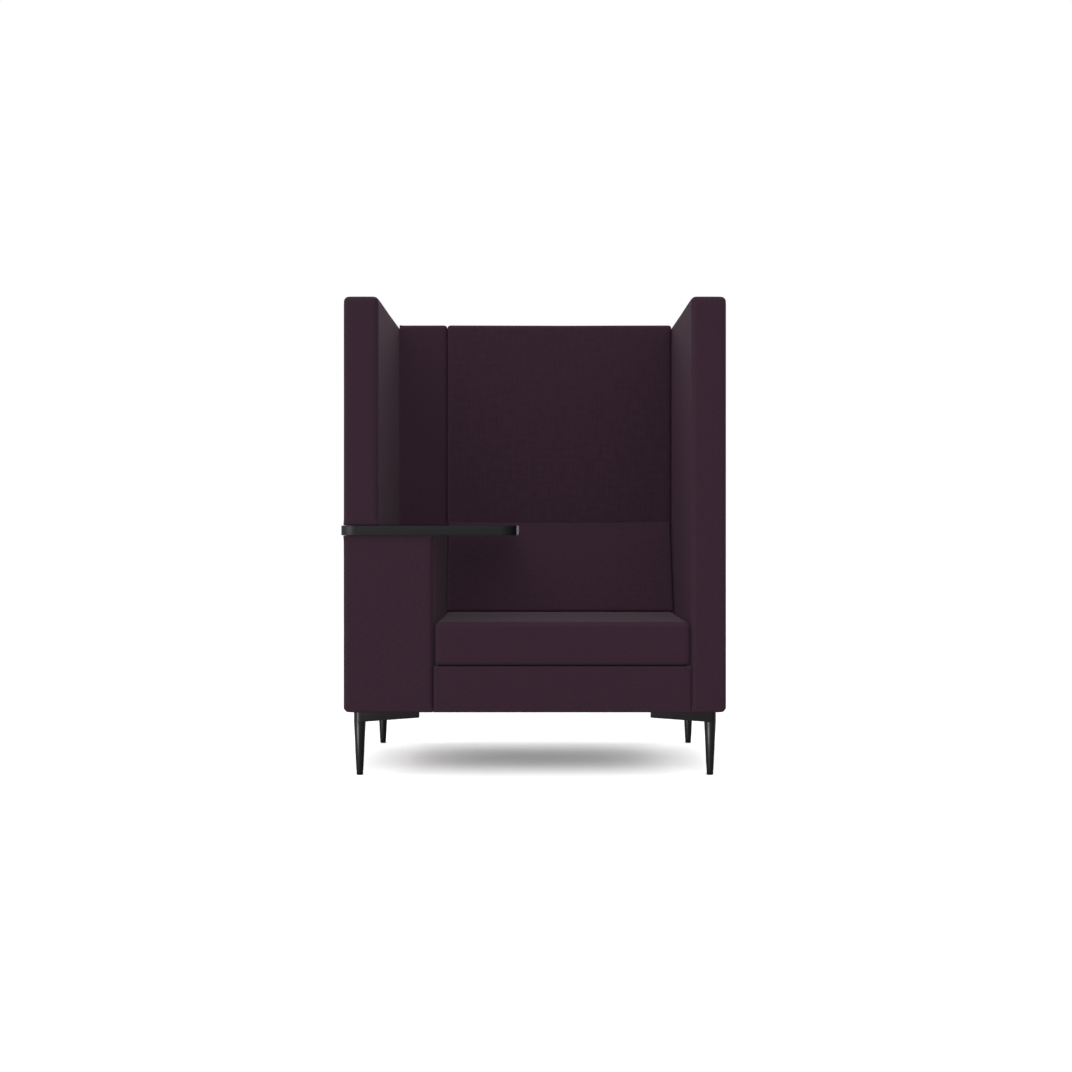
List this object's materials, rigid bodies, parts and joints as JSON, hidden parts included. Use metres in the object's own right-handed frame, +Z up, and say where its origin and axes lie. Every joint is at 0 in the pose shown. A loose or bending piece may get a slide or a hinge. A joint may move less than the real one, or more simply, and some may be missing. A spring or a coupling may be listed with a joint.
{
  "type": "lounge chair",
  "caption": "Upholstered high back lounge chair with tall side and back panels, a wide arm block, a black writing board over the arm, seat and lumbar cushions and slim metal legs.",
  "frame": {"origin": "on the floor, under the middle of the chair's outline with the writing board's overhang counted in", "axes": "+Z up, the sitter looks towards -Y, and the arm block with the writing board is at -X, which is the picture's left"},
  "size_m": [1.11, 0.74, 1.38],
  "materials": {
    "plum_fabric": "matte",
    "foam": "matte",
    "timber": "matte",
    "lining_cloth": "matte",
    "webbing": "matte",
    "black_board": "satin",
    "zinc_steel": "satin",
    "black_metal": "satin",
    "black_plastic": "matte"
  },
  "bodies": {
    "chair": {"right_panel_cover": "plum_fabric", "right_panel_foam": "foam", "right_panel_frame": "timber", "left_panel_cover": "plum_fabric", "left_panel_foam": "foam", "left_panel_frame": "timber", "corner_panel_cover": "plum_fabric", "corner_panel_foam": "foam", "corner_panel_frame": "timber", "back_panel_cover": "plum_fabric", "back_panel_foam": "foam", "back_panel_frame": "timber", "arm_cover": "plum_fabric", "arm_foam": "foam", "arm_frame": "timber", "seat_base_cover": "plum_fabric", "seat_base_foam": "foam", "seat_base_frame": "timber", "dust_cover": "lining_cloth", "webbing_strap_1": "webbing", "webbing_strap_2": "webbing", "webbing_strap_3": "webbing", "webbing_strap_4": "webbing", "seat_cushion_cover": "plum_fabric", "seat_cushion_foam": "foam", "lumbar_cushion_cover": "plum_fabric", "lumbar_cushion_foam": "foam", "writing_board": "black_board", "board_stud_front": "zinc_steel", "board_stud_middle": "zinc_steel", "board_stud_corner": "zinc_steel", "joining_bolt_right_back_low": "zinc_steel", "joining_bolt_right_back_high": "zinc_steel", "joining_bolt_right_seat_front": "zinc_steel", "joining_bolt_right_seat_rear": "zinc_steel", "joining_bolt_arm_seat_front": "zinc_steel", "joining_bolt_arm_seat_rear": "zinc_steel", "joining_bolt_arm_back": "zinc_steel", "joining_bolt_corner_back": "zinc_steel", "joining_bolt_left_corner": "zinc_steel", "leg_bracket_front_left": "black_metal", "leg_bracket_front_right": "black_metal", "leg_bracket_rear_left": "black_metal", "leg_bracket_rear_right": "black_metal", "leg_front_left": "black_metal", "leg_front_right": "black_metal", "leg_rear_left": "black_metal", "leg_rear_right": "black_metal", "bracket_screw_front_left_across": "zinc_steel", "bracket_screw_front_left_along": "zinc_steel", "bracket_screw_front_right_across": "zinc_steel", "bracket_screw_front_right_along": "zinc_steel", "bracket_screw_rear_left_across": "zinc_steel", "bracket_screw_rear_left_along": "zinc_steel", "bracket_screw_rear_right_across": "zinc_steel", "bracket_screw_rear_right_along": "zinc_steel"},
    "glide_front_left": {"glide_front_left": "black_plastic"},
    "glide_front_right": {"glide_front_right": "black_plastic"},
    "glide_rear_left": {"glide_rear_left": "black_plastic"},
    "glide_rear_right": {"glide_rear_right": "black_plastic"}
  },
  "joints": [
    {"name": "level_front_left", "type": "slide", "parent": "chair", "child": "glide_front_left", "axis": [0, 0, -1], "range_m": [0, 0.01]},
    {"name": "level_front_right", "type": "slide", "parent": "chair", "child": "glide_front_right", "axis": [0, 0, -1], "range_m": [0, 0.01]},
    {"name": "level_rear_left", "type": "slide", "parent": "chair", "child": "glide_rear_left", "axis": [0, 0, -1], "range_m": [0, 0.01]},
    {"name": "level_rear_right", "type": "slide", "parent": "chair", "child": "glide_rear_right", "axis": [0, 0, -1], "range_m": [0, 0.01]}
  ]
}
